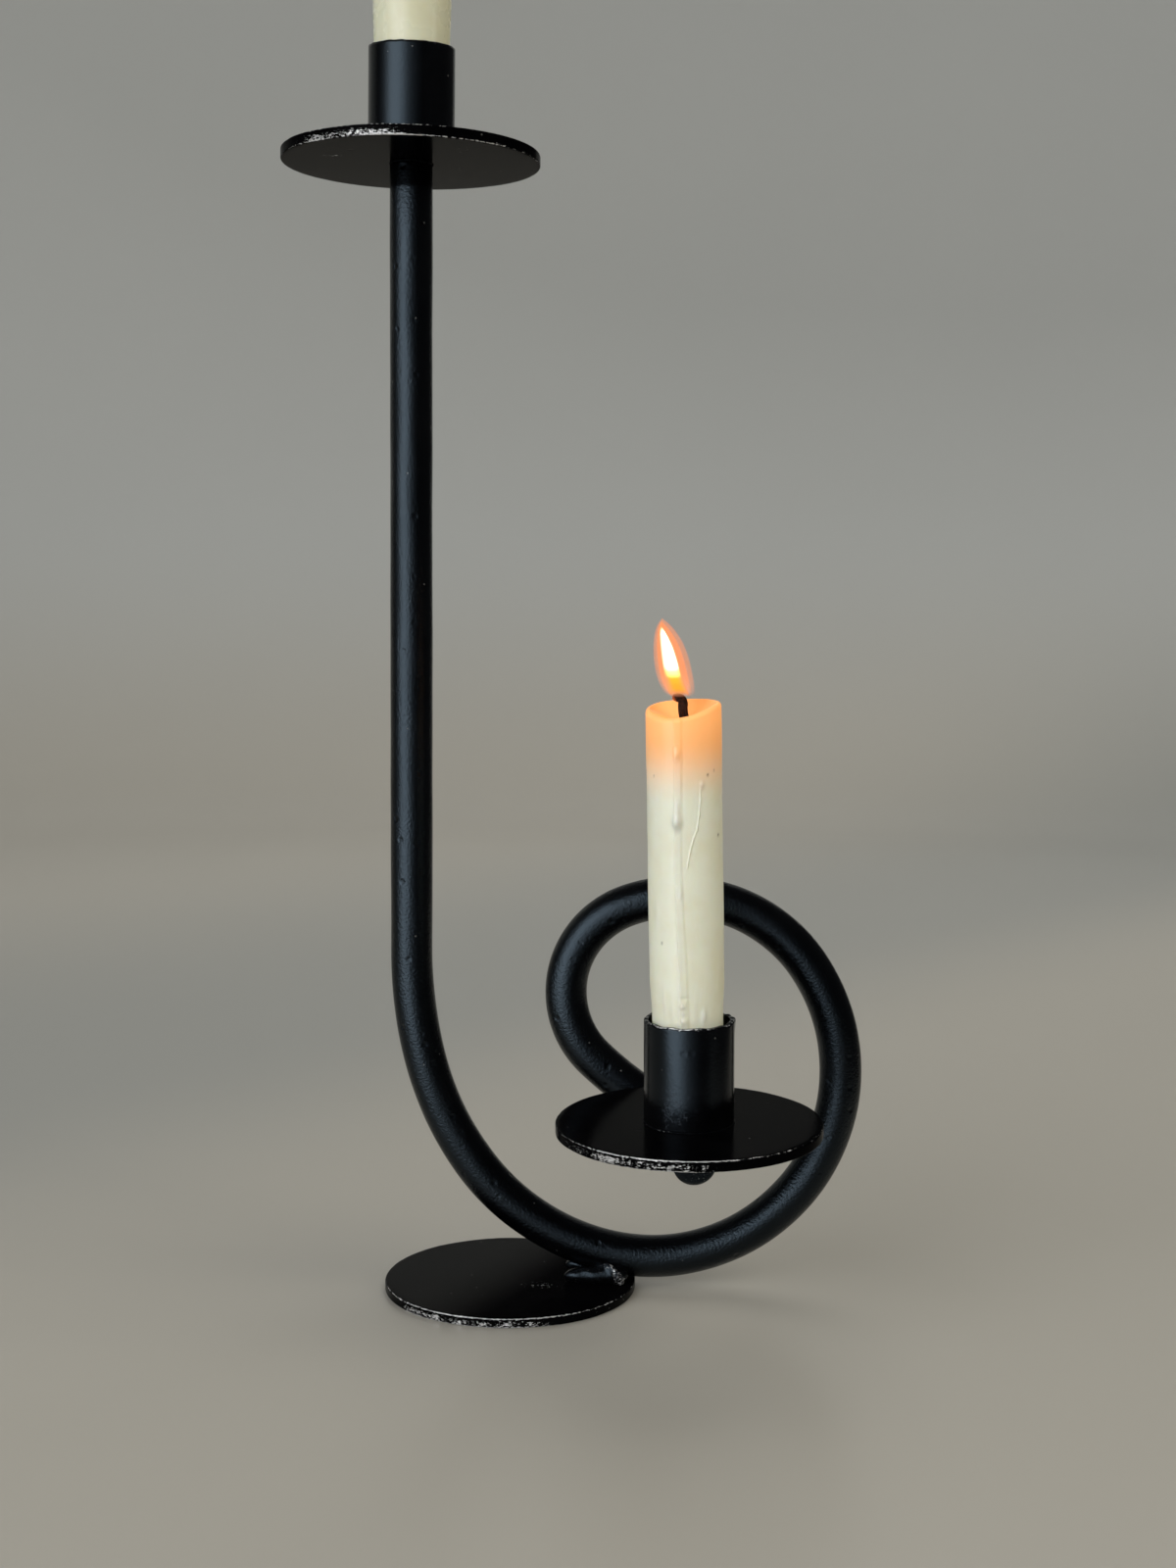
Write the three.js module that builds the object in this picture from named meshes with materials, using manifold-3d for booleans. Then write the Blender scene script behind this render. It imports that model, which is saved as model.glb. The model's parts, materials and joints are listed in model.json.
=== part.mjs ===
// Double candle holder: one bent round bar on a flat disc, with a drip tray and a cup on each end.
// Millimetres, +Z up. The origin is the centre of the base disc's underside. The bar's main bends
// lie in a plane parallel to XZ, and -Y is the front, where the tail of the bar reaches.
import * as THREE from 'three';
import { mergeVertices } from 'three/addons/utils/BufferGeometryUtils.js';
import Module from 'manifold-3d';

const wasm = await Module();
wasm.setup();

// Clearances
const seatGap = 0.3; // left between pieces that rest on, or are welded to, each other
const wickSlack = 0.3; // round the wick in its hole

// Bar stock
const barDiameter = 12.6;
const barEndRounding = 1.4; // broken edge of the cut end under the lower tray

// Discs, each with a lightly broken edge
const baseDiameter = 76.2;
const baseThickness = 2.8;
const upperTrayDiameter = 76.2;
const upperTrayThickness = 3.1;
const lowerTrayDiameter = 75.3;
const lowerTrayThickness = 3.1;
const discEdgeBreak = 0.4;

// Cups, cut from round tube
const cupDiameter = 25.4;
const cupWall = 1.3;
const upperCupHeight = 29.8;
const lowerCupHeight = 29.0;
const cupEdgeBreak = 0.3;

// Where the bar stands
const planeSetback = 1.5; // bend plane behind the base disc's centre
const footOverhang = 4.2; // lowest point of the bar, outside the disc's rim
const stemTop = 336.3; // height of the stem's upper end

// Bends of the bar in its plane: radius of the axis, and the heading in degrees that each ends on.
// The bar starts straight down (-90), runs level at 0, straight up at 90 and over the top at 180.
const easeRadius = 136.9;
const easeHeading = -76.1;
const sweepRadius = 92.9;
const sweepHeading = -54.3;
const bellyRadius = 71.2;
const bellyHeading = -16.5;
const hoopRadius = 57.6;
const hoopHeading = 126.8;
const crownRadius = 46.7;
const crownHeading = 200.1;
const curlRadius = 28.1;
const curlHeading = 316.1;
const tailRadius = 97.5;
const tailHeading = 323.3;

// The tail turns forward out of the plane and ends under the lower tray
const tailRun = 5.4; // straight before the turn
const turnInside = 3.3; // inside radius of the turn
const reachHeading = 79.9; // degrees forward of +X
const reachDroop = 2.2; // degrees below level
const reachLength = 46.1;
const reachOverhang = 9.7; // of the bar's end beyond the tray's centre

// How far out of true the two heads sit, in degrees
const upperNod = 1.6; // forward
const upperLean = 0.6; // to the right
const lowerRoll = -0.9; // about the bar beneath
const lowerCandleLean = -0.9; // of the candle in its cup, to the left

// Candles
const upperCandleDiameter = 22.8;
const upperCandleSlack = 0.3; // round the foot, shaved to enter its cup
const upperCandleShown = 89; // above the cup's rim
const lowerCandleDiameter = 20.9;
const lowerCandleSlack = 1.4;
const lowerCandleShown = 89;
const candleTaper = 12; // length over which the foot widens, above the rim
const candleEdge = 0.6; // chamfer round the foot
const candleRounding = 0.9; // of the top edge
const poolDepth = 3.2; // of the hollow that the flame has melted
const poolLip = 1.6; // wall left round it
const wickDiameter = 1.7;
const wickSeat = 6; // depth of the wick's hole
const wickShown = 6; // above the pool
const wickHook = 2.6; // radius of its bent tip
const wickHookTurn = 105; // degrees

// Weld beads
const baseBeadLength = 20.5; // along the bar, from the disc's rim inward
const baseBeadInset = 1.5; // of the bead's outer end from the rim
const baseBeadLumps = 7;
const baseBeadRadius = 3.4; // of the largest lump, near the rim
const baseBeadTipRadius = 2.1; // of the smallest
const tailBeadLength = 20; // along the bar, centred under the lower tray's cup
const tailBeadLumps = 8;
const tailBeadRadius = 2.3;
const beadTuck = 0.9; // of a bead's line inside the bar's side
const beadSink = 0.3; // of a bead into the flat it is laid on
const lumpVariation = 0.06; // of a lump's radius
const lumpPhase = 5; // radians from lump to lump
const filletLeg = 0.8; // of the ring weld round the stem's upper end
const cupFilletLeg = 0.6; // of the ring weld round each cup's foot

// Fineness of the facets
const barSides = 20;
const bendStep = 7; // degrees
const discSides = 56;
const cupSides = 56;
const candleSides = 48;
const filletSides = 40;
const wickSides = 8;
const lumpSides = 14;
const arcSteps = 3; // in a rounded edge
const bowlSteps = 5; // in the hollow of a candle's top

const deg = THREE.MathUtils.degToRad;
const barRadius = barDiameter / 2;
const turnRadius = barRadius + turnInside;
const cupBore = cupDiameter - 2 * cupWall;
const upperCandleFootDiameter = cupBore - 2 * upperCandleSlack;
const lowerCandleFootDiameter = cupBore - 2 * lowerCandleSlack;

// The bar rests on the disc's rim, a little before its own lowest point
const rimX = baseDiameter / 2;
const underside = hoopRadius + barRadius;
const rimRise = underside - Math.sqrt(underside ** 2 - footOverhang ** 2);
const footX = rimX + footOverhang;
const footZ = baseThickness + seatGap + barRadius - rimRise;

const paint = { color: 0x17181b, roughness: 0.4, metalness: 0.1 };
const scorchedPaint = { color: 0x1d1c1e, roughness: 0.5, metalness: 0.25 };
const wax = { color: 0xe9e2c2, roughness: 0.45, metalness: 0 };
const char = { color: 0x191310, roughness: 0.95, metalness: 0 };

function piece(name, geometry, look) {
  const mesh = new THREE.Mesh(geometry, new THREE.MeshStandardMaterial(look));
  mesh.name = name;
  return mesh;
}

// A closed geometry as a solid, and back again
function solid(geometry) {
  const bare = geometry.clone();
  bare.deleteAttribute('normal');
  bare.deleteAttribute('uv');
  const merged = mergeVertices(bare, 1e-4);
  const vertProperties = new Float32Array(merged.attributes.position.array);
  const triVerts = new Uint32Array(merged.index.array);
  return new wasm.Manifold(new wasm.Mesh({ numProp: 3, vertProperties, triVerts }));
}

function shape(manifold) {
  const mesh = manifold.getMesh();
  const geometry = new THREE.BufferGeometry();
  geometry.setAttribute('position', new THREE.BufferAttribute(new Float32Array(mesh.vertProperties), 3));
  geometry.setIndex(new THREE.BufferAttribute(new Uint32Array(mesh.triVerts), 1));
  geometry.computeVertexNormals();
  return geometry;
}

// Points of a round from one angle to another, in degrees, as [x, y] pairs; an ellipse if ry is given
function arc(x, y, rx, from, to, steps, ry = rx) {
  const points = [];
  for (let i = 0; i <= steps; i += 1) {
    const a = deg(from + ((to - from) * i) / steps);
    points.push([x + rx * Math.cos(a), y + ry * Math.sin(a)]);
  }
  return points;
}

// Turned about +Z from [radius, height] pairs
function turned(profile, sides) {
  const points = profile.map(([r, z]) => new THREE.Vector2(r, z));
  return new THREE.LatheGeometry(points, sides).rotateX(Math.PI / 2);
}

function disc(diameter, thickness) {
  const r = diameter / 2;
  const b = Math.min(discEdgeBreak, thickness / 3);
  const profile = [[0, 0], [r - b, 0], [r, b], [r, thickness - b], [r - b, thickness], [0, thickness]];
  return turned(profile, discSides);
}

function tube(diameter, wall, height) {
  const outer = diameter / 2;
  const inner = outer - wall;
  const b = Math.min(cupEdgeBreak, wall / 3);
  const profile = [
    [inner, 0], [outer, 0], [outer, height - b], [outer - b, height],
    [inner + b, height], [inner, height - b], [inner, 0],
  ];
  return turned(profile, cupSides);
}

// Ring weld in the corner between a round and the flat it stands on, its flat at z = 0
function filletRing(innerRadius, leg) {
  const profile = [[innerRadius, 0], ...arc(innerRadius, 0, leg, 0, 90, arcSteps), [innerRadius, 0]];
  return turned(profile, filletSides);
}

// The bar's axis, as a curve whose steps fall on the bends
class BarAxis extends THREE.Curve {
  constructor(start, direction) {
    super();
    this.stations = [];
    this.point = start.clone();
    this.direction = direction.clone().normalize();
    this.mark();
  }

  mark() {
    this.stations.push({ point: this.point.clone(), direction: this.direction.clone() });
  }

  run(length) {
    this.point.addScaledVector(this.direction, length);
    this.mark();
  }

  bend(radius, turn, axis) {
    const centre = axis.clone().cross(this.direction).multiplyScalar(radius).add(this.point);
    const steps = Math.max(1, Math.ceil(THREE.MathUtils.radToDeg(turn) / bendStep));
    for (let i = 0; i < steps; i += 1) {
      this.point.sub(centre).applyAxisAngle(axis, turn / steps).add(centre);
      this.direction.applyAxisAngle(axis, turn / steps).normalize();
      this.mark();
    }
  }

  // Position between stations, so that equal steps of u land on the stations themselves
  getPointAt(u, target = new THREE.Vector3()) {
    const s = u * (this.stations.length - 1);
    const i = Math.min(Math.floor(s + 1e-9), this.stations.length - 2);
    return target.lerpVectors(this.stations[i].point, this.stations[i + 1].point, s - i);
  }

  getTangentAt(u, target = new THREE.Vector3()) {
    const s = u * (this.stations.length - 1);
    const i = Math.min(Math.round(s), this.stations.length - 1);
    return target.copy(this.stations[i].direction);
  }
}

// A round rod along the stations of an axis
function rod(axis, radius, sides) {
  const section = new THREE.Shape();
  for (let i = 0; i < sides; i += 1) {
    const a = (2 * Math.PI * i) / sides;
    const x = radius * Math.cos(a);
    const y = radius * Math.sin(a);
    if (i === 0) section.moveTo(x, y);
    else section.lineTo(x, y);
  }
  section.closePath();
  return new THREE.ExtrudeGeometry(section, {
    steps: axis.stations.length - 1,
    extrudePath: axis,
    bevelEnabled: false,
  });
}

const bends = [
  { radius: easeRadius, heading: easeHeading },
  { radius: sweepRadius, heading: sweepHeading },
  { radius: bellyRadius, heading: bellyHeading },
  { radius: hoopRadius, heading: hoopHeading },
  { radius: crownRadius, heading: crownHeading },
  { radius: curlRadius, heading: curlHeading },
  { radius: tailRadius, heading: tailHeading },
];

// Run and drop from the foot of the straight stem to the bar's lowest point, where it is level
function reachToFoot() {
  let heading = -90;
  let run = 0;
  let drop = 0;
  for (const bend of bends) {
    const end = Math.min(bend.heading, 0);
    run += bend.radius * (Math.sin(deg(end)) - Math.sin(deg(heading)));
    drop += bend.radius * (Math.cos(deg(end)) - Math.cos(deg(heading)));
    heading = end;
    if (bend.heading >= 0) break;
  }
  return { run, drop };
}

const foot = reachToFoot();
const stemX = footX - foot.run;
const planeNormal = new THREE.Vector3(0, -1, 0);
const axis = new BarAxis(new THREE.Vector3(stemX, planeSetback, stemTop), new THREE.Vector3(0, 0, -1));
axis.run(stemTop - footZ - foot.drop);
let heading = -90;
for (const bend of bends) {
  axis.bend(bend.radius, deg(bend.heading - heading), planeNormal);
  heading = bend.heading;
}
axis.run(tailRun);
const reach = new THREE.Vector3(
  Math.cos(deg(reachHeading)) * Math.cos(deg(reachDroop)),
  -Math.sin(deg(reachHeading)) * Math.cos(deg(reachDroop)),
  -Math.sin(deg(reachDroop)),
);
const turnAxis = axis.direction.clone().cross(reach).normalize();
axis.bend(turnRadius, axis.direction.angleTo(reach), turnAxis);
axis.run(reachLength - barEndRounding);

// The cut end is a nose with a rounded edge, joined to the rod
const noseRoot = 1; // length of the nose inside the rod
const noseRelief = 0.1; // of the nose inside the rod's side
const noseArc = arc(barRadius - noseRelief - barEndRounding, 0, barEndRounding, 0, 90, arcSteps);
const noseProfile = [[0, -noseRoot], [barRadius - noseRelief, -noseRoot], ...noseArc, [0, barEndRounding]];
const nose = turned(noseProfile, barSides);
nose.applyQuaternion(new THREE.Quaternion().setFromUnitVectors(new THREE.Vector3(0, 0, 1), axis.direction));
nose.translate(...axis.point.toArray());
const bentBar = solid(rod(axis, barRadius, barSides)).add(solid(nose));
const barCutter = solid(rod(axis, barRadius + seatGap, barSides));

// A lumpy bead: overlapping balls between two points, growing from the first to the last
function bead(from, to, lumps, firstRadius, lastRadius) {
  let body = null;
  for (let i = 0; i < lumps; i += 1) {
    const t = i / (lumps - 1);
    const wave = lumpVariation * Math.sin(lumpPhase * i); // no two lumps quite alike
    const radius = THREE.MathUtils.lerp(firstRadius, lastRadius, t) * (1 + wave);
    const centre = new THREE.Vector3().lerpVectors(from, to, t);
    const ball = new THREE.SphereGeometry(radius, lumpSides, lumpSides / 2).translate(...centre.toArray());
    body = body ? body.add(solid(ball)) : solid(ball);
  }
  return body;
}

const root = new THREE.Group();
root.add(piece('bent_bar', shape(bentBar), paint));
root.add(piece('base_disc', disc(baseDiameter, baseThickness), paint));

// Beads in front of and behind the bar, where it crosses the disc's rim
const bedDepth = 4 * baseBeadRadius;
const bed = new THREE.BoxGeometry(2 * baseDiameter, 2 * baseDiameter, bedDepth);
const bedCutter = solid(bed.translate(0, 0, baseThickness + seatGap - bedDepth / 2));
for (const [name, side] of [['base_weld_front', -1], ['base_weld_back', 1]]) {
  const y = planeSetback + side * (barRadius - beadTuck);
  const innerX = rimX - baseBeadInset - baseBeadLength + baseBeadTipRadius;
  const outerX = rimX - baseBeadInset - baseBeadRadius;
  const level = baseThickness + seatGap - beadSink;
  const from = new THREE.Vector3(innerX, y, level + baseBeadTipRadius);
  const to = new THREE.Vector3(outerX, y, level + baseBeadRadius);
  const body = bead(from, to, baseBeadLumps, baseBeadTipRadius, baseBeadRadius);
  root.add(piece(name, shape(body.subtract(barCutter).subtract(bedCutter)), scorchedPaint));
}

// A candle turned from its foot up, with the pool and the wick's hole in its top
function candle(diameter, footDiameter, inCup, shown) {
  const r = diameter / 2;
  const f = footDiameter / 2;
  const top = inCup + shown;
  const hole = wickDiameter / 2 + wickSlack;
  const holeFloor = top - poolDepth - wickSeat;
  const round = Math.min(candleRounding, poolLip / 2);
  const profile = [
    [0, 0], [f - candleEdge, 0], [f, candleEdge], [f, inCup], [r, inCup + candleTaper],
    ...arc(r - round, top - round, round, 0, 90, arcSteps),
    ...arc(hole, top, r - poolLip - hole, 0, -90, bowlSteps, poolDepth),
    [hole, holeFloor], [0, holeFloor],
  ];
  return turned(profile, candleSides);
}

// A wick that stands in its hole and hooks over to the left
function wick(base) {
  const line = new BarAxis(new THREE.Vector3(0, 0, base), new THREE.Vector3(0, 0, 1));
  line.run(wickSeat + wickShown - wickHook);
  line.bend(wickHook, deg(wickHookTurn), new THREE.Vector3(0, -1, 0));
  return rod(line, wickDiameter / 2, wickSides);
}

// A head: tray, cup, their ring weld and a candle, built up from the tray's underside at z = 0
function addHead(head, prefix, trayDiameter, trayThickness, cupHeight, stick) {
  head.add(piece(`${prefix}_tray`, disc(trayDiameter, trayThickness), paint));
  const seat = new THREE.Group();
  seat.position.z = trayThickness + seatGap;
  head.add(seat);
  seat.add(piece(`${prefix}_cup`, tube(cupDiameter, cupWall, cupHeight), paint));
  seat.add(piece(`${prefix}_cup_weld`, filletRing(cupDiameter / 2 + seatGap, cupFilletLeg), scorchedPaint));
  const leaning = new THREE.Group();
  leaning.rotation.y = deg(stick.lean);
  leaning.position.z = (stick.footDiameter / 2) * Math.sin(Math.abs(deg(stick.lean)));
  seat.add(leaning);
  const waxBody = candle(stick.diameter, stick.footDiameter, cupHeight, stick.shown);
  leaning.add(piece(`${prefix}_candle`, waxBody, wax));
  const wickBase = cupHeight + stick.shown - poolDepth - wickSeat + wickSlack;
  leaning.add(piece(`${prefix}_wick`, wick(wickBase), char));
}

const upperHead = new THREE.Group();
upperHead.position.set(stemX, planeSetback, stemTop + seatGap);
upperHead.rotation.set(deg(upperNod), deg(upperLean), 0);
const upperCandle = {
  diameter: upperCandleDiameter,
  footDiameter: upperCandleFootDiameter,
  shown: upperCandleShown,
  lean: 0,
};
addHead(upperHead, 'upper', upperTrayDiameter, upperTrayThickness, upperCupHeight, upperCandle);
const stemWeld = filletRing(barRadius + seatGap, filletLeg).rotateX(Math.PI).translate(0, 0, -seatGap);
upperHead.add(piece('stem_weld', stemWeld, scorchedPaint));
root.add(upperHead);

// The lower head sits on the reach of the bar: its local -Y runs along the bar, its Z square to it
const lowerHead = new THREE.Group();
const backward = reach.clone().negate();
const across = backward.clone().cross(new THREE.Vector3(0, 0, 1)).normalize();
const upright = across.clone().cross(backward);
lowerHead.quaternion.setFromRotationMatrix(new THREE.Matrix4().makeBasis(across, backward, upright));
lowerHead.rotateY(deg(lowerRoll));
const barEnd = axis.point.clone().addScaledVector(axis.direction, barEndRounding);
lowerHead.position.copy(barEnd).addScaledVector(reach, -reachOverhang);
root.add(lowerHead);
const lowerSeat = new THREE.Group();
lowerSeat.position.z = barRadius + seatGap;
lowerHead.add(lowerSeat);
const lowerCandle = {
  diameter: lowerCandleDiameter,
  footDiameter: lowerCandleFootDiameter,
  shown: lowerCandleShown,
  lean: lowerCandleLean,
};
addHead(lowerSeat, 'lower', lowerTrayDiameter, lowerTrayThickness, lowerCupHeight, lowerCandle);

// Beads between the reach of the bar and the lower tray, one on each side
const grooveRadius = barRadius + seatGap;
const groove = new THREE.CylinderGeometry(grooveRadius, grooveRadius, 2 * tailBeadLength, filletSides);
const grooveCutter = solid(groove);
const roofDepth = 4 * tailBeadRadius;
const roof = new THREE.BoxGeometry(lowerTrayDiameter, lowerTrayDiameter, roofDepth);
const roofCutter = solid(roof.translate(0, 0, barRadius + roofDepth / 2));
for (const [name, side] of [['tail_weld_left', -1], ['tail_weld_right', 1]]) {
  const x = side * (barRadius - beadTuck + tailBeadRadius / 2);
  const z = barRadius + beadSink - tailBeadRadius;
  const innerY = tailBeadLength / 2 - tailBeadRadius;
  const outerY = Math.min(innerY, reachOverhang - 2 * tailBeadRadius);
  const from = new THREE.Vector3(x, innerY, z);
  const to = new THREE.Vector3(x, -outerY, z);
  const body = bead(from, to, tailBeadLumps, tailBeadRadius, tailBeadRadius);
  lowerHead.add(piece(name, shape(body.subtract(grooveCutter).subtract(roofCutter)), scorchedPaint));
}

export default root;
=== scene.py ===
import json
import math

import bpy
import numpy as np
from mathutils import Matrix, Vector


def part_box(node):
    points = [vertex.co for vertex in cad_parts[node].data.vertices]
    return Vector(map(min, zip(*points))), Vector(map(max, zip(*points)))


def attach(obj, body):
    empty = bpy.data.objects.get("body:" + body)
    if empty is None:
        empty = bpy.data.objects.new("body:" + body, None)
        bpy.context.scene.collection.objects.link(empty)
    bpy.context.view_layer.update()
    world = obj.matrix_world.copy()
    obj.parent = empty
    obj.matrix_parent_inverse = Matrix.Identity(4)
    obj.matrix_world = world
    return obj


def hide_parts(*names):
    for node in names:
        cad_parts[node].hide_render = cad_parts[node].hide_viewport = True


# Looks of the double candle holder: a bent, welded and painted iron bar with two trays, two cups and
# two candles. Shapes are worked out in millimetres and put into their meshes in metres. Where a table
# gives degrees round a piece, they count from the side that faces the camera, positive to the right.

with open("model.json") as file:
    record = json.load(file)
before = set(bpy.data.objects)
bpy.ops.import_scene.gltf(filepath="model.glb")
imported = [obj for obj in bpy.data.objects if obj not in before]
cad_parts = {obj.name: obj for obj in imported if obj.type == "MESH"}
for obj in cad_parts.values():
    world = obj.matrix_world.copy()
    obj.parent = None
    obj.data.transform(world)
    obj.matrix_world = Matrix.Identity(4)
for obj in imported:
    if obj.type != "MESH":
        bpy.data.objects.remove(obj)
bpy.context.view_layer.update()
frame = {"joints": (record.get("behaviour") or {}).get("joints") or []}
MM = 0.001
WELDED = "frame"
UPPER_STICK = "upper_candle_body"
LOWER_STICK = "lower_candle_body"

# Camera of the photograph, for a picture 1200 wide and 1600 high
EYE = np.array([39.644, -583.118, 198.235])
YAW, TILT, ROLL = 0.028791, 0.075512, 0.006064  # radians: to the left, down, and about the view
FOCAL_PIXELS = 1989.31
PICTURE_HEIGHT = 1600
SENSOR = 36

# Sizes of the stock, in millimetres
BAR_RADIUS = 6.3
BAR_END_ROUNDING = 1.4
BAR_FOOT_HEIGHT = 9.262  # of the bar's axis at its lowest
# radius of each bend, and the heading in degrees that it ends on; the bar starts straight down at -90
BENDS = [
    (136.9, -76.1), (92.9, -54.3), (71.2, -16.5), (57.6, 126.8), (46.7, 200.1), (28.1, 316.1), (97.5, 323.3),
]
TAIL_RUN = 5.4
TURN_RADIUS = 9.6
REACH_HEADING, REACH_DROOP = 79.9, 2.2  # degrees forward of +X, and below level
REACH_LENGTH = 46.1
BASE_RADIUS, BASE_THICKNESS = 38.1, 2.8
UPPER_TRAY_RADIUS, LOWER_TRAY_RADIUS, TRAY_THICKNESS = 38.1, 37.65, 3.1
PLATE_ROUNDING, PLATE_WARP = 0.42, 0.08
CUP_RADIUS, CUP_WALL, CUP_ROUNDING = 12.7, 1.3, 0.32
UPPER_CUP_HEIGHT, LOWER_CUP_HEIGHT = 29.8, 29.0
SEAT_GAP = 0.3
CANDLE_LEAN = -0.9  # degrees, of the lower candle in its cup
CANDLE_FOOT_ROUNDING, CANDLE_RIM_ROUNDING, CANDLE_LIP = 0.6, 1.3, 1.6


# Meshes

def grid_faces(count, around, looped=False, sheet=False):
    """The corners of each face in a grid of points. Every row closes on itself, except on a sheet. Looped,
    the last row joins the first."""
    row = np.arange(count if looped else count - 1)[:, None] * around
    after = (row + around) % (count * around)
    here = np.arange(around - 1 if sheet else around)[None]
    beside = (here + 1) % around
    return np.stack([row + here, row + beside, after + beside, after + here], -1).reshape(-1, 4)


def new_mesh(name, points, *faces):
    """A mesh from points in millimetres and one or more tables of faces."""
    mesh = bpy.data.meshes.new(name)
    mesh.from_pydata((points * MM).tolist(), [], [face for part in faces for face in part.tolist()])
    return mesh


def fill_mesh(name, rings, looped=False, **fields):
    """A closed mesh from rings of points: rings[i, j] is point j of ring i, in millimetres. Looped, the last
    ring joins the first. Otherwise a fan about the mean of each end ring closes that end. The sign of the
    enclosed volume, a sixth of the sum of a . (b x c) over the triangles, turns the faces outwards. Each
    field is a number for every ring point."""
    count, around, _ = rings.shape
    points = rings.reshape(-1, 3)
    quads = grid_faces(count, around, looped)
    fans = np.zeros((0, 3), int)
    if not looped:
        points = np.vstack([points, rings[[0, -1]].mean(1)])
        first = np.arange(around)
        last = first + (count - 1) * around
        middle = np.full(around, count * around)
        fans = np.vstack([
            np.stack([middle, np.roll(first, -1), first], -1),
            np.stack([middle + 1, last, np.roll(last, -1)], -1),
        ])
    triangles = np.vstack([quads[:, [0, 1, 2]], quads[:, [0, 2, 3]], fans])
    a, b, c = (points[triangles[:, k]] - points.mean(0) for k in range(3))
    if np.einsum("ij,ij->", a, np.cross(b, c)) < 0:
        quads, fans = quads[:, ::-1], fans[:, ::-1]
    mesh = new_mesh(name, points, quads, fans)
    mesh.shade_smooth()
    for field, values in fields.items():
        values = np.broadcast_to(values, (count, around)).astype(float)
        ends = [] if looped else values[[0, -1]].mean(1)
        set_field(mesh, field, np.concatenate([values.ravel(), ends]))
    return mesh


def set_field(mesh, field, values):
    mesh.attributes.new(field, "FLOAT", "POINT").data.foreach_set("value", values.astype(np.float32))


def put_in_scene(name, data):
    made = bpy.data.objects.new(name, data)
    bpy.context.scene.collection.objects.link(made)
    return made


def add_piece(name, mesh, material, body, slot, *nodes):
    """A mesh as a piece of the object that rides on a body and stands for its solids."""
    mesh.materials.append(material)
    piece = put_in_scene(name, mesh)
    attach(piece, body)
    if nodes:
        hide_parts(*nodes)


def add_painted(name, node_name, rings, paint, slot="black_paint", looped=False, **fields):
    """A painted piece of the welded frame, straight from its rings."""
    add_piece(name, fill_mesh(name, rings, looped, **fields), paint, WELDED, slot, node_name)


# Shared shape helpers

def box_mm(node_name):
    return tuple(np.array(corner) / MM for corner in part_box(node_name))


def unit(vector):
    return vector / np.linalg.norm(vector)


def smooth(low, high, x):
    """0 below low, 1 above high, and 3t^2 - 2t^3 between."""
    t = np.clip((x - low) / (high - low), 0, 1)
    return t * t * (3 - 2 * t)


def swell(angle, along, seed, waves=7, around=6, along_step=0.6):
    """Soft seeded unevenness, mostly between -1 and 1: the sum of sines in whole turns of the angle and in the
    length along, each with a random phase, over the root of their number."""
    rng = np.random.default_rng(seed)
    total = 0
    for _ in range(waves):
        turns = rng.integers(0, around + 1)
        rate = rng.uniform(-along_step, along_step)
        total = total + np.sin(turns * angle + rate * along + rng.uniform(0, 2 * np.pi))
    return total / math.sqrt(waves)


def hump(x, y, centre_x, centre_y, wide, high):
    """A bell over two lengths: exp(-(dx/wide)^2 - (dy/high)^2)."""
    return np.exp(-((x - centre_x) / wide) ** 2 - ((y - centre_y) / high) ** 2)


def bell(half):
    """Weights for smoothing a row of numbers: exp(-(2i/half)^2) for whole i from -half to half, of sum 1."""
    weights = np.exp(-(np.arange(-half, half + 1) * 2 / half) ** 2)
    return weights / weights.sum()


def spans(degrees, pieces, edge=4):
    """The sum of soft-sided windows on an angle: each adds its amount between its two ends."""
    total = 0
    for start, end, amount in pieces:
        rise = np.tanh((degrees - start) / edge) - np.tanh((degrees - end) / edge)
        total = total + amount * rise / 2
    return total


def quarter(steps):
    """Angles of a quarter circle, in radians."""
    return np.radians(np.linspace(0, 90, steps))


def circle(count):
    return np.arange(count) * 2 * np.pi / count


def packed_circle(count, centre, pack=0.55):
    """Angles round a circle, drawn towards the centre: u - pack sin(u - centre), for even steps of u."""
    u = circle(count)
    return u - pack * np.sin(u - centre)


def turned(radius, height, angle):
    """Rings about the z axis: (r cos a, r sin a, z)."""
    radius, height, angle = np.broadcast_arrays(radius, height, angle)
    return np.stack([radius * np.cos(angle), radius * np.sin(angle), height], -1)


def turn_about(vector, axis, angles):
    """A vector turned by many angles about the unit axis k: v cos a + (k x v) sin a + k (k . v) (1 - cos a)."""
    c, s = np.cos(angles)[:, None], np.sin(angles)[:, None]
    return vector * c + np.cross(axis, vector) * s + axis * (axis @ vector) * (1 - c)


def pointing(azimuth, elevation=0.0):
    """The direction that is turned from +X towards +Y and raised above level, both in radians."""
    level = math.cos(elevation)
    return np.array([math.cos(azimuth) * level, math.sin(azimuth) * level, math.sin(elevation)])


def swept(centres, ahead, side, radius, angle):
    """Rings along a line: centre + r (side cos a + (ahead x side) sin a). Ahead and side have one row for
    every centre, or one row for all."""
    other = np.cross(ahead, side)
    across = side[:, None] * np.cos(angle)[None, :, None] + other[:, None] * np.sin(angle)[None, :, None]
    return centres[:, None] + radius[..., None] * across


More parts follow.
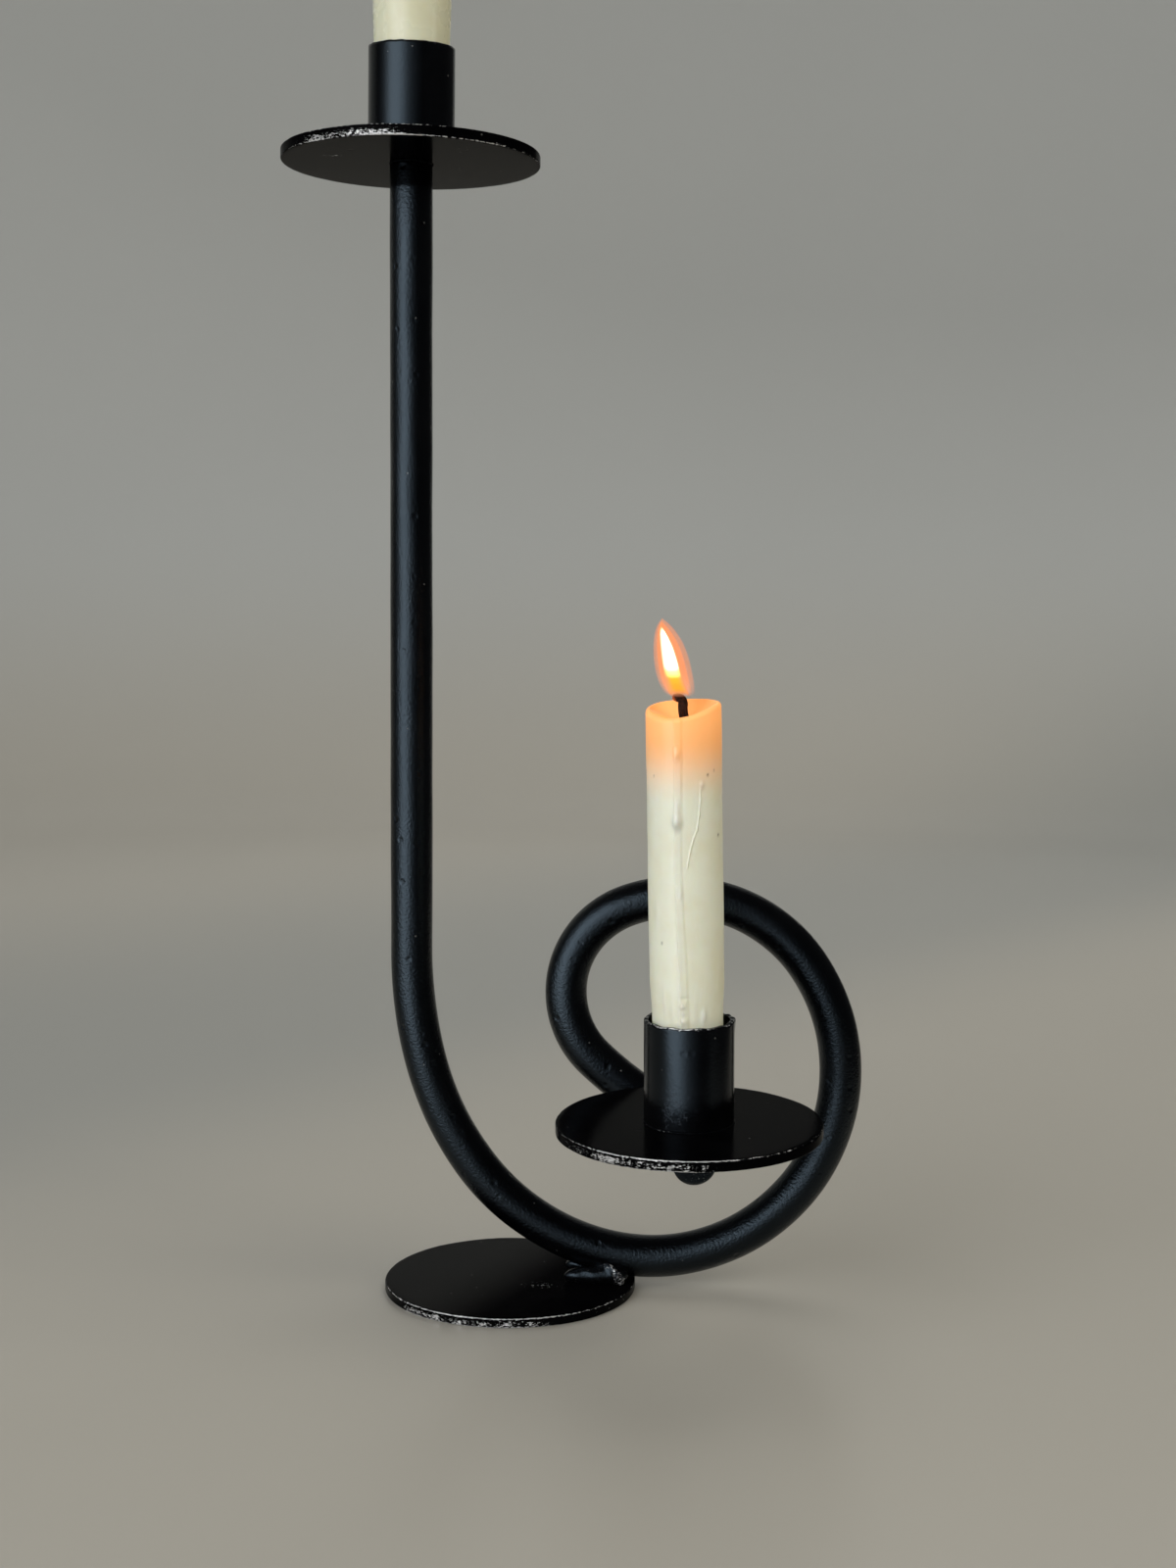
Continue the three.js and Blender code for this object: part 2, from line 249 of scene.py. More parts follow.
class Axes:
    """Axes of a plate and what stands on it, from the middle of its underside, with z upwards. View is the
    angle about z that faces the camera, and seat is how high the pieces on the plate start."""

    def __init__(self, origin, axes, thickness):
        self.origin, self.axes = origin, axes
        self.seat = thickness + SEAT_GAP
        eye = self.seen_from_here(EYE)
        self.view = math.atan2(eye[1], eye[0])

    def seen_from_here(self, points):
        return (points - self.origin) @ self.axes.T

    def place(self, points, lean=0.0, lift=0.0):
        """Points in these axes to the part's: leant about y, raised, turned by the axes and moved."""
        c, s = math.cos(math.radians(lean)), math.sin(math.radians(lean))
        x, y, z = (points[..., k] for k in range(3))
        leant = np.stack([x * c + z * s, y, z * c - x * s], -1)
        leant[..., 2] += lift
        return self.origin + leant @ self.axes

    def from_view(self, angle):
        """Degrees round from the side that faces the camera."""
        return (np.degrees(angle - self.view) + 180) % 360 - 180


def tray_axes(tray, joint, heading):
    """A tray's axes: z is the lift axis of its candle, and x lies as near as it can to the heading."""
    z = unit(np.array(next(j["axis"] for j in frame["joints"] if j["name"] == joint)))
    x = pointing(math.radians(heading))
    x = unit(x - (x @ z) * z)
    low, high = box_mm(tray)
    return Axes((low + high) / 2 - z * TRAY_THICKNESS / 2, np.stack([x, np.cross(z, x), z]), TRAY_THICKNESS)


table = Axes(np.zeros(3), np.eye(3), BASE_THICKNESS)
upper = tray_axes("upper_tray", "upper_candle_lift", 0)
lower = tray_axes("lower_tray", "lower_candle_lift", 90 - REACH_HEADING)


# Shader nodes

def grey(value):
    return (value, value, value, 1.0)


class Wires:
    """A node tree with short ways to add to it."""

    def __init__(self, tree):
        self.tree = tree

    def feed(self, made, inputs):
        """Gives a node its inputs. One that is a socket is linked, and any other is a value."""
        for key, value in inputs.items():
            if isinstance(value, bpy.types.NodeSocket):
                self.tree.links.new(value, made.inputs[key])
            else:
                made.inputs[key].default_value = value

    def add(self, kind, inputs=None, **settings):
        made = self.tree.nodes.new(kind)
        for key, value in settings.items():
            setattr(made, key, value)
        self.feed(made, inputs or {})
        return made

    def math(self, operation, a, b, clamp=False):
        return self.add("ShaderNodeMath", {0: a, 1: b}, operation=operation, use_clamp=clamp).outputs[0]

    def times(self, a, b, clamp=False):
        return self.math("MULTIPLY", a, b, clamp)

    def plus(self, a, b, clamp=False):
        return self.math("ADD", a, b, clamp)

    def minus(self, a, b, clamp=False):
        return self.math("SUBTRACT", a, b, clamp)

    def blend(self, share, a, b):
        return self.add("ShaderNodeMix", {0: share, 6: a, 7: b}, data_type="RGBA").outputs[2]

    def ramp(self, value, low, high, start=0.0, end=1.0):
        """Start below low, end above high, and a smooth step between."""
        inputs = {"Value": value, "From Min": low, "From Max": high, "To Min": start, "To Max": end}
        return self.add("ShaderNodeMapRange", inputs, interpolation_type="SMOOTHSTEP").outputs[0]

    def place(self):
        return self.add("ShaderNodeTexCoord").outputs["Object"]

    def stretched(self, place, scale):
        return self.add("ShaderNodeMapping", {"Vector": place, "Scale": scale}).outputs[0]

    def along(self, place, direction):
        inputs = {0: place, 1: direction}
        return self.add("ShaderNodeVectorMath", inputs, operation="DOT_PRODUCT").outputs["Value"]

    def noise(self, place, scale, detail=4.0, roughness=0.55):
        inputs = {"Vector": place, "Scale": scale, "Detail": detail, "Roughness": roughness}
        return self.add("ShaderNodeTexNoise", inputs).outputs[0]

    def cells(self, place, scale):
        """Distance to the nearest of many scattered points, and three random numbers of that point."""
        found = self.add("ShaderNodeTexVoronoi", {"Vector": place, "Scale": scale}, feature="F1")
        random = self.add("ShaderNodeSeparateColor", {0: found.outputs["Color"]})
        return found.outputs["Distance"], random.outputs

    def field(self, name):
        return self.add("ShaderNodeAttribute", attribute_name=name).outputs["Fac"]

    def group(self, tree, fields, values):
        """A node group with its inputs set, some to values and some to fields of the mesh."""
        read = {name.capitalize(): self.field(name) for name in fields}
        return self.add("ShaderNodeGroup", {**values, **read}, node_tree=tree).outputs

    def bump(self, height, distance, strength=1.0):
        inputs = {"Height": height, "Strength": strength, "Distance": distance}
        return self.add("ShaderNodeBump", inputs).outputs[0]


def new_group(name, inputs, outputs):
    """An empty node group: its inputs with their defaults, a tuple for a colour, and its outputs by name."""
    tree = bpy.data.node_groups.new(name, "ShaderNodeTree")
    for socket, value in inputs.items():
        kind = "NodeSocketColor" if isinstance(value, tuple) else "NodeSocketFloat"
        tree.interface.new_socket(socket, in_out="INPUT", socket_type=kind).default_value = value
    for socket in outputs:
        kind = "NodeSocketColor" if socket in ("Colour", "Light") else "NodeSocketFloat"
        tree.interface.new_socket(socket, in_out="OUTPUT", socket_type=kind)
    w = Wires(tree)
    return w, w.add("NodeGroupInput").outputs, w.add("NodeGroupOutput")


# Features of the paint, each as so many to the metre
SKIN_SCALE, GRAIN_SCALE, CHIP_SCALE, RUB_SCALE = 1300.0, 1100.0, 1020.0, 640.0
DUST_SCALE, PIT_SCALE, CLOUD_SCALE, METAL_SCALE = 420.0, 230.0, 70.0, 2600.0


def paint_film():
    """Black paint on iron, with scuffs, dust, peel, pits, and chips down to the metal where wear + noise
    passes 1."""
    w, put, out = new_group(
        "black_paint_film",
        {"Wear": 0.0, "Scuff": 0.0, "Peel": 0.5, "Pits": 0.3, "Dust": 0.3, "Gloss": 0.4},
        ("Colour", "Roughness", "Metallic", "Height"),
    )
    place = w.place()
    grain = w.noise(place, GRAIN_SCALE, 6.0, 0.7)
    chips = w.ramp(w.noise(w.stretched(place, (1.0, 1.0, 2.0)), CHIP_SCALE, 8.0, 0.76), 0.3, 0.7)
    chipped = w.times(w.minus(w.plus(put["Wear"], chips), 1.0), 20.0, clamp=True)
    rubbed = w.noise(place, RUB_SCALE, 8.0, 0.78)
    scuffed = w.ramp(w.plus(rubbed, w.times(put["Scuff"], 0.2)), 0.62, 0.80)
    scuffed = w.times(scuffed, w.times(put["Scuff"], 0.7), clamp=True)
    distance, pick = w.cells(place, DUST_SCALE)
    dusty = w.math("LESS_THAN", pick[0], w.times(put["Dust"], 0.25))
    speck = w.times(w.math("LESS_THAN", distance, 0.11), dusty)
    cloud = w.ramp(w.noise(place, CLOUD_SCALE, 3.0), 0.3, 0.7)
    film = w.blend(cloud, (0.0007, 0.0007, 0.0009, 1), (0.0017, 0.0017, 0.0020, 1))
    film = w.blend(scuffed, film, (0.035, 0.038, 0.045, 1))
    film = w.blend(w.times(speck, 0.7), film, (0.11, 0.11, 0.105, 1))
    metal = w.blend(w.noise(place, METAL_SCALE, 3.0, 0.6), grey(0.5), grey(0.75))
    gloss = w.plus(put["Gloss"], w.times(w.minus(grain, 0.5), 0.18))
    gloss = w.plus(gloss, w.times(scuffed, 0.45))
    distance, pick = w.cells(place, PIT_SCALE)
    pitted = w.math("LESS_THAN", pick[1], w.times(put["Pits"], 0.6))
    depth = w.times(w.ramp(distance, 0.05, 0.3, 1.0, 0.0), pitted)
    skin = w.minus(w.times(w.noise(place, SKIN_SCALE, 3.0, 0.6), put["Peel"]), w.times(depth, 0.9))
    w.feed(out, {
        "Colour": w.blend(chipped, film, metal),
        "Roughness": w.plus(gloss, w.times(chipped, 0.06), clamp=True),
        "Metallic": w.times(chipped, 0.35),
        "Height": w.minus(skin, w.times(chipped, 0.5)),
    })
    return w.tree


def wax_body():
    """Candle wax: ivory with faint clouds and streaks, and apricot where the flame shines into it."""
    w, put, out = new_group(
        "candle_wax",
        {
            "Glow": 0.0, "Dirt": 0.0, "Run": 0.0, "Matt": 0.30,
            "Ivory": (0.80, 0.81, 0.66, 1), "Cloud": (0.76, 0.74, 0.55, 1), "Pale": (0.86, 0.86, 0.74, 1),
        },
        ("Colour", "Light", "Roughness", "Height"),
    )
    place = w.place()
    streak = w.noise(w.stretched(place, (1.0, 1.0, 0.16)), 420.0)
    cloud = w.noise(place, 110.0, 3.0)
    wax = w.blend(w.ramp(cloud, 0.35, 0.75, 0.0, 0.7), put["Ivory"], put["Cloud"])
    wax = w.blend(w.ramp(streak, 0.55, 0.75, 0.0, 0.35), wax, put["Pale"])
    wax = w.blend(w.times(put["Run"], 0.45), wax, (0.66, 0.66, 0.60, 1))
    wax = w.blend(w.ramp(put["Glow"], 0.0, 0.75), wax, (0.90, 0.47, 0.20, 1))
    rough = w.plus(put["Matt"], w.times(cloud, 0.2))
    height = w.plus(w.times(w.noise(place, 900.0, 3.0), 0.35), w.times(streak, 0.5))
    w.feed(out, {
        "Colour": w.blend(put["Dirt"], wax, (0.12, 0.10, 0.07, 1)),
        "Light": w.blend(w.math("POWER", put["Glow"], 1.6), grey(0.0), (0.52, 0.17, 0.03, 1)),
        "Roughness": w.minus(rough, w.times(put["Run"], 0.24), clamp=True),
        "Height": w.minus(height, put["Dirt"]),
    })
    return w.tree


PAINT_FILM = paint_film()
WAX_BODY = wax_body()


# Materials

def new_material(name, **constants):
    """A material with one Principled shader, its constants set on the shader's own sockets."""
    made = bpy.data.materials.new(name)
    made.use_nodes = True
    made.node_tree.nodes.clear()
    w = Wires(made.node_tree)
    shader = w.add("ShaderNodeBsdfPrincipled")
    w.feed(shader, {key.replace("_", " "): value for key, value in constants.items()})
    w.add("ShaderNodeOutputMaterial", {0: shader.outputs[0]})
    return made, w, shader


def painted(name, relief, specular, tint, dulled, **values):
    """The paint film on one kind of piece, with its own peel, pits, dust and gloss. Where the piece's own field
    says so, from 0 to 1, it mirrors less: that field is painted shade, which darkens its reflections."""
    made, w, shader = new_material(name, Specular_IOR_Level=specular, Specular_Tint=tint)
    film = w.group(PAINT_FILM, ("wear", "scuff"), values)
    # Painted shade: the piece's own field lowers how much the paint mirrors
    if dulled:
        w.feed(shader, {"Specular IOR Level": w.times(w.minus(1.0, w.field("dull")), specular)})
    w.feed(shader, {
        "Base Color": film["Colour"], "Roughness": film["Roughness"], "Metallic": film["Metallic"],
        "Normal": w.bump(film["Height"], relief),
    })
    return made


def waxen(name, lit, **values):
    """Wax of one candle. Lit, it also gives out the flame's light that shines through it."""
    made, w, shader = new_material(
        name, Subsurface_Weight=0.2, Subsurface_Radius=(1.0, 0.62, 0.3), Subsurface_Scale=0.003,
        Specular_IOR_Level=0.4, Emission_Strength=1.0 if lit else 0.0,
    )
    wax = w.group(WAX_BODY, ("glow", "dirt", "run"), values)
    if lit:
        w.feed(shader, {"Emission Color": wax["Light"]})
    w.feed(shader, {
        "Base Color": wax["Colour"], "Roughness": wax["Roughness"],
        "Normal": w.bump(wax["Height"], 0.00015, 0.6),
    })
    return made


def charred():
    """A burnt wick: black and brown fibres that wind round it, with an ember at its tip."""
    made, w, shader = new_material("charred_wick", Emission_Strength=1.0, Specular_IOR_Level=0.15)
    fibre = w.noise(w.place(), 2400.0)
    w.feed(shader, {
        "Base Color": w.blend(w.ramp(fibre, 0.4, 0.7), (0.004, 0.0015, 0.001, 1), (0.05, 0.016, 0.007, 1)),
        "Emission Color": w.blend(w.field("ember"), grey(0.0), (0.9, 0.16, 0.03, 1)),
        "Roughness": w.ramp(fibre, 0.3, 0.7, 0.7, 0.95),
        "Normal": w.bump(fibre, 0.0002, 0.8),
    })
    return made


def burning(name, stops, strength, fringe, fading=False):
    """Flame: its colour goes through the stops from foot to tip, and to the fringe where it turns away. It is
    as dense as its veil. Fading, it is thin where it faces the eye and at its very outline."""
    made, w, shader = new_material(
        name, Base_Color=grey(0.0), Roughness=1.0, Specular_IOR_Level=0.0, Emission_Strength=strength,
    )
    up = w.field("up")
    colour = stops[0][1]
    for (start, _), (end, reached) in zip(stops, stops[1:]):
        colour = w.blend(w.ramp(up, start, end), colour, reached)
    away = w.add("ShaderNodeLayerWeight", {"Blend": 0.5}).outputs["Facing"]
    veil = w.field("veil")
    if fading:
        around = w.times(w.ramp(away, 0.0, 0.3, 0.12, 1.0), w.ramp(away, 0.45, 1.0, 1.0, 0.0))
        veil = w.times(veil, around)
    w.feed(shader, {"Emission Color": w.blend(w.ramp(away, 0.5, 0.86), colour, fringe), "Alpha": veil})
    return made


# The bar

def bar_axis():
    """Points on the bar's axis about a millimetre apart, the direction there, and a direction to its side. A
    run moves along the direction. A bend turns point, direction and side together about its centre, which
    lies a radius from the point along axis x direction."""
    low, high = box_mm("bent_bar")
    start = np.array([low[0] + BAR_RADIUS, high[1] - BAR_RADIUS, high[2] + SEAT_GAP])
    heading, drop = -90.0, 0.0
    for radius, end in BENDS:
        stop = min(end, 0.0)
        drop += radius * (math.cos(math.radians(stop)) - math.cos(math.radians(heading)))
        heading = stop
        if end >= 0:
            break
    line = [np.array([[start, [0, 0, -1.0], [0, -1.0, 0]]])]  # blocks of rows of point, ahead and side

    def run(length):
        steps = np.linspace(0, length, max(2, int(round(length)) + 1))[1:, None]
        block = np.repeat(line[-1][-1:], len(steps), 0)
        block[:, 0] += block[:, 1] * steps
        line.append(block)

    def bend(radius, turn, axis):
        angles = np.linspace(0, turn, max(3, int(round(radius * turn)) + 1))[1:]
        point, ahead, side = line[-1][-1]
        centre = point + radius * np.cross(axis, ahead)
        block = np.stack([turn_about(vector, axis, angles) for vector in (point - centre, ahead, side)], 1)
        block[:, 0] += centre
        line.append(block)

    run(start[2] - BAR_FOOT_HEIGHT - drop)
    heading = -90.0
    for radius, end in BENDS:
        bend(radius, math.radians(end - heading), np.array([0, -1.0, 0]))
        heading = end
    run(TAIL_RUN)
    reach = pointing(-math.radians(REACH_HEADING), -math.radians(REACH_DROOP))
    ahead = line[-1][-1, 1]
    bend(TURN_RADIUS, math.acos(ahead @ reach), unit(np.cross(ahead, reach)))
    run(REACH_LENGTH - BAR_END_ROUNDING)
    return np.moveaxis(np.vstack(line), 1, 0)


def bar_rings():
    """The bar: a circle swept along its axis, a little uneven along and round, with a sawn and rounded end.
    Past the last station the radius falls along a quarter circle, and then straight in over the sawn face."""
    points, ahead, side = bar_axis()
    step = np.linalg.norm(np.diff(points, axis=0), axis=1)
    along = np.concatenate([[0], np.cumsum(step)])
    angle = circle(80)
    radius = BAR_RADIUS + 0.045 * swell(angle[None], along[:, None], 3, 9, 5, 0.25)
    radius = radius - 0.05 * np.exp(-along / 1.5)[:, None]
    corner = quarter(7)[1:]
    inward = BAR_RADIUS - BAR_END_ROUNDING
    saw = np.linspace(inward, 0.3, 9)[1:]
    end_radius = np.concatenate([inward + BAR_END_ROUNDING * np.cos(corner), saw])
    end_reach = np.concatenate([BAR_END_ROUNDING * np.sin(corner), np.full(len(saw), BAR_END_ROUNDING)])
    ragged = 1 + 0.05 * swell(angle, 0, 5, 6, 5)[None] * smooth(0, BAR_END_ROUNDING, end_reach)[:, None]
    count = len(end_reach)
    points = np.vstack([points, points[-1] + ahead[-1] * end_reach[:, None]])
    ahead, side = (np.vstack([rows, np.repeat(rows[-1:], count, 0)]) for rows in (ahead, side))
    radius = np.vstack([radius, end_radius[:, None] * ragged])
    along = np.concatenate([along, along[-1] + end_reach])
    rings = swept(points, ahead, side, radius, angle)
    return rings, 0.08 * smooth(along[-1] - 2.0, along[-1] - 0.3, along)[:, None]


# Plates, cups and welds

def plate_rings(head, radius, thickness, seed, lower_edge, upper_edge, band, band_at):
    """A cut plate: a flat underside, two rounded edges and a flat top, turned about its axis. The rim's radius
    and height wander a little, the plate is warped in two waves, and the edges have nicks, which are bells on
    the angle. Wear is the nearness to each edge times that edge's windows. A third set of windows wears the
    band between the edges, most at the given share of the thickness."""
    c = PLATE_ROUNDING
    flat = radius - c
    reach = flat * np.linspace(0, 1, 26)[1:] ** 0.8
    high = quarter(7)
    low = (high - np.pi / 2)[1:]
    r = np.concatenate([
        reach, flat + c * np.cos(low), np.full(7, radius), flat + c * np.cos(high), reach[::-1][1:],
    ])
    z = np.concatenate([
        np.zeros(len(reach)), c + c * np.sin(low), np.linspace(c, thickness - c, 9)[1:-1],
        thickness - c + c * np.sin(high), np.full(len(reach) - 1, thickness),
    ])
    r, z, angle = r[:, None], z[:, None], circle(520)[None]
    outer = smooth(radius - 2.5, radius, r)
    rng = np.random.default_rng(seed)
    near_low = np.exp(-((r - radius + 0.12) ** 2 + (z - 0.12) ** 2) / 0.25 ** 2)
    near_high = np.exp(-((r - radius + 0.12) ** 2 + (z - thickness + 0.12) ** 2) / 0.22 ** 2)
    nicked = 0
    for near in (near_low, near_high):
        for _ in range(26):
            at, wide, deep = rng.uniform(0, 2 * np.pi), rng.uniform(0.010, 0.035), rng.uniform(0.05, 0.28)
            off = (angle - at + np.pi) % (2 * np.pi) - np.pi
            nicked = nicked + deep * np.exp(-(off / wide) ** 2) * near
    rim = 0.05 * swell(angle, 0, seed + 1, 9, 17) - nicked
    height = z + PLATE_WARP * (r / radius) ** 2 * np.sin(2 * angle + seed)
    height = height + 0.03 * outer * swell(angle, 0, seed + 2, 8, 9)
    seen = head.from_view(angle)
    on_band = smooth(radius - 0.3, radius - 0.1, r) * np.exp(-((z / thickness - band_at) / 0.32) ** 2)
    on_band = on_band * spans(seen, band) * (1 + 0.3 * swell(angle, 0, seed + 3, 9, 40))
    wear = near_low * spans(seen, lower_edge) + near_high * spans(seen, upper_edge) + on_band
    return head.place(turned(r + outer * rim, height, angle)), np.clip(wear, 0, 1)


def cup_rings(head, height, seed, burr=0.0, slant=0.0, ragged=0.12):
    """A piece of tube: up its bore, over a lightly rounded rim, and down its outside to the foot, as a loop.
    The saw cut's height wanders round the rim. Slant tips the cut towards the camera, and a burr sticks out.
    Also gives the nearness to the rim's outer corner, the degrees from the view, and the height."""
    outer, inner, c = CUP_RADIUS, CUP_RADIUS - CUP_WALL, CUP_ROUNDING
    corner = quarter(6)
    r = np.concatenate([
        np.full(30, inner), inner + c - c * np.cos(corner),
        outer - c + c * np.sin(corner), np.full(60, outer),
    ])
    z = np.concatenate([
        np.linspace(-SEAT_GAP, height - c, 31)[:-1], height - c + c * np.sin(corner),
        height - c + c * np.cos(corner), np.linspace(-SEAT_GAP, height - c, 60)[::-1],
    ])
    r, z, angle = r[:, None], z[:, None], circle(256)[None]
    seen = head.from_view(angle)
    top = smooth(height - 4.0, height, z)
    cut = ragged * swell(angle, 0, seed, 10, 22) - slant * np.cos(np.radians(seen))
    out = smooth(height - 5, height - 1, z) * burr * np.exp(-((seen - 96) / 7) ** 2)
    skin = 0.02 * swell(angle, z, seed + 1, 8, 4, 0.3)
    rings = turned(r + np.where(r > outer - 0.5, out + skin, 0), z + top * cut, angle)
    corner_wear = np.exp(-((r - outer + 0.1) ** 2 + (z - height + 0.1) ** 2) / 0.24 ** 2)
    return head.place(rings, lift=head.seat), corner_wear, seen, z


SEAM_STEPS = 300


def ring_weld(radius, leg, base, seed, hang=1.0):
    """A thin seam in a corner: a quarter-round fillet turned about the axis, its leg uneven round the ring.
    The loop goes from the corner along the flat, over the round face and back down the wall."""
    angle = circle(SEAM_STEPS)
    size = leg * (1 + 0.3 * swell(angle, 0, seed, 10, 34) + 0.12 * swell(angle, 0, seed + 1, 8, 80))
    size = np.clip(size, 0.35 * leg, 1.7 * leg)[:, None]
    face = quarter(8)[None]
    root = np.full((SEAM_STEPS, 1), radius - 0.3)
    r = np.concatenate([root, radius + size * np.cos(face), root], 1)
    z = np.concatenate([np.full((SEAM_STEPS, 1), -0.12), size * np.sin(face) - 0.1 * np.cos(face), size], 1)
    return turned(r, base + hang * z, angle[:, None])


def bead_rings(start, end, thick_start, thick_end, ridges, seed, facing=0.0, lag=4.8):
    """A laid bead: a round sweep that grows from one point to the other, with blunt ends and soft lumps. Each
    ridge is a distance along, a half width and a height: a bell across the bead whose crest falls back by the
    square of the angle from the bead's foot to its top, so that it shows as a crescent. Facing is the angle
    round the bead of its open side. Also gives the height as a share."""
    length = np.linalg.norm(end - start)
    t = np.concatenate([[0.0], (1 - np.cos(np.linspace(0, np.pi, 170))) / 2, [1.0]])[1:-1, None]
    angle = circle(84)[None]
    ahead = unit(end - start)
    side = unit(np.cross(ahead, [0, 0, 1.0]))
    body = thick_start + (thick_end - thick_start) * t
    blunt = np.clip(1 - np.abs(2 * t - 1) ** 5, 0, 1) ** 0.5
    towards = angle * (1 if facing == 0 else -1) + facing - np.pi / 4
    turned_from = np.abs((towards + np.pi) % (2 * np.pi) - np.pi)
    back = lag * (turned_from / (0.75 * np.pi)) ** 2
    raised = 0.06 * swell(angle, length * t, seed, 9, 3, 0.9)
    for along, wide, high in ridges:
        raised = raised + high * np.exp(-((length * t - along + back) / wide) ** 2)
    centres = start + (end - start) * t
    radius = (body + raised) * blunt + 0.02
    return swept(centres, ahead[None], side[None], radius, angle[0]), np.clip(raised / 0.7, 0, 1)


# Candles, wicks and flame

def candle_rings(radius, foot, in_cup, shown, rim, floor_depth, angle, relief):
    """A candle: its foot, its side, a rounded melted rim and the hollow round the wick, up one profile. Rim
    is how far each angle's rim has melted below the top. The side's relief is added to its radius, and the
    hollow falls from the rim to its floor along a quarter of a sine. Part numbers the four stretches."""
    top = in_cup + shown
    around = len(angle)
    start_z = top - rim(angle)
    heel, lip = CANDLE_FOOT_ROUNDING, CANDLE_LIP * 0.62
    turn = np.radians(np.linspace(15, 90, 6))
    foot_r = np.concatenate([np.linspace(0.1, foot - heel, 8), foot - heel + heel * np.sin(turn)])
    foot_z = np.concatenate([np.zeros(8), heel - heel * np.cos(turn)])
    share = [np.linspace(0.01, 0.2, 24)[:-1], np.linspace(0.2, 0.9, 168), np.linspace(0.9, 1, 34)[1:]]
    side_z = heel + (start_z - CANDLE_RIM_ROUNDING - heel)[None] * np.concatenate(share)[:, None]
    side_r = foot + (radius - foot) * smooth(in_cup, in_cup + 12, side_z)
    side_r = side_r + relief(angle[None], side_z)
    last_r = side_r[-1]
    corner = quarter(9)[1:, None]
    round_r = last_r - lip * (1 - np.cos(corner))
    round_z = start_z - CANDLE_RIM_ROUNDING + CANDLE_RIM_ROUNDING * np.sin(corner)
    inner = np.linspace(0, 1, 34)[1:, None]
    bowl_r = (last_r - lip) * (1 - inner) + 0.5 * inner
    bowl_z = start_z + (top - floor_depth - start_z) * np.sin(inner * np.pi / 2) ** 0.8
    r = np.vstack([np.repeat(foot_r[:, None], around, 1), side_r, round_r, bowl_r])
    z = np.vstack([np.repeat(foot_z[:, None], around, 1), side_z, round_z, bowl_z])
    part = np.repeat([0, 1, 2, 3], [len(foot_r), len(side_z), len(round_z), len(bowl_z)])[:, None]
    return turned(r, z, angle[None]), z, part


def wick_rings(origin, axes, base, straight, hook, turn, thick, seed):
    """A wick: three twisted strands swept up a line that hooks over to the left at its top. The radius is
    thick (1 + 0.14 cos(3 a + k s)), and it tapers at the tip. Also gives the share of each ring in the tip."""
    up_z = np.linspace(0, straight, 26)
    bent = np.radians(np.linspace(0, turn, 20))[1:]
    line = np.concatenate([
        np.stack([0.12 * np.sin(up_z * 1.3), np.zeros(26), up_z], -1),
        np.stack([-hook * (1 - np.cos(bent)), np.zeros(19), straight + hook * np.sin(bent)], -1),
    ])
    ahead = np.gradient(line, axis=0)
    ahead /= np.linalg.norm(ahead, axis=1)[:, None]
    side = np.array([[0, -1.0, 0]])
    along = np.linspace(0, 1, len(line))[:, None]
    angle = circle(40)
    strands = 0.14 * np.cos(3 * angle[None] + 9 * along)
    radius = thick * (1 + strands + 0.08 * swell(angle[None], 20 * along, seed, 8, 5))
    radius = radius * np.clip(1.25 - 0.25 * along, 0, 2) * np.clip((1.02 - along) / 0.08, 0.35, 1)
    local = swept(line, ahead, side, radius, angle)
    local[..., 2] += base
    return origin + local @ axes, smooth(0.9, 1.0, along)


def flame_rings(swollen, drift=0.0):
    """A flame: circles from foot to tip, whose middle and radius are smoothed through the stations."""
    t = np.linspace(0, 1, 90)
    at = np.linspace(0, 1, len(FLAME))
    padded = (np.pad(np.interp(t, at, row), 8, mode="reflect", reflect_type="odd") for row in FLAME.T)
    x, up, half = (np.convolve(row, bell(8), "valid") for row in padded)
    half = np.clip(half, 0.05, None) + swollen * np.sin(np.pi * np.clip(t * 1.02, 0, 1)) ** 0.6
    local = turned(half[:, None], up[:, None] + swollen * (0.9 * t[:, None] - 0.2), circle(64)[None])
    local[..., 0] += x[:, None] + drift
    return local, t[:, None]


# Build the holder

# Bluish tints of the paint's reflections: painted highlight colour, the cool tone of the window light put into
# the paint
PLATE_PAINTED_HIGHLIGHT_TINT, PAINTED_COOL_HIGHLIGHT_TINT = (0.9, 0.95, 1.0, 1), (0.62, 0.82, 1.0, 1)
bar_paint, base_paint, tray_paint, cup_paint, weld_paint, seam_paint = (
    painted(
        name + "_black_paint", relief, specular, tint, dulled, Peel=peel, Pits=pits, Dust=dust, Gloss=gloss,
    )
    for name, relief, specular, tint, dulled, peel, pits, dust, gloss in (
        ("bar", 0.00024, 0.33, PAINTED_COOL_HIGHLIGHT_TINT, True, 0.8, 0.4, 0.35, 0.2),
        ("base", 0.00003, 0.024, PLATE_PAINTED_HIGHLIGHT_TINT, True, 0.5, 0.1, 0.3, 0.2),
        ("tray", 0.00003, 0.006, PLATE_PAINTED_HIGHLIGHT_TINT, False, 0.5, 0.1, 0.3, 0.16),
        ("cup", 0.00006, 0.29, PAINTED_COOL_HIGHLIGHT_TINT, False, 0.6, 0.15, 0.3, 0.18),
        ("weld", 0.00012, 0.28, PAINTED_COOL_HIGHLIGHT_TINT, False, 0.6, 0.3, 0.4, 0.26),
        ("seam", 0.00006, 0.04, PAINTED_COOL_HIGHLIGHT_TINT, False, 0.5, 0.2, 0.3, 0.5),
    )
)

# Painted shade on the stem's top below the upper tray: it stands in for the tray's dark underside in its
# reflection
SHADED_STEM = 6.4  # length of the stem below the upper tray that hardly mirrors

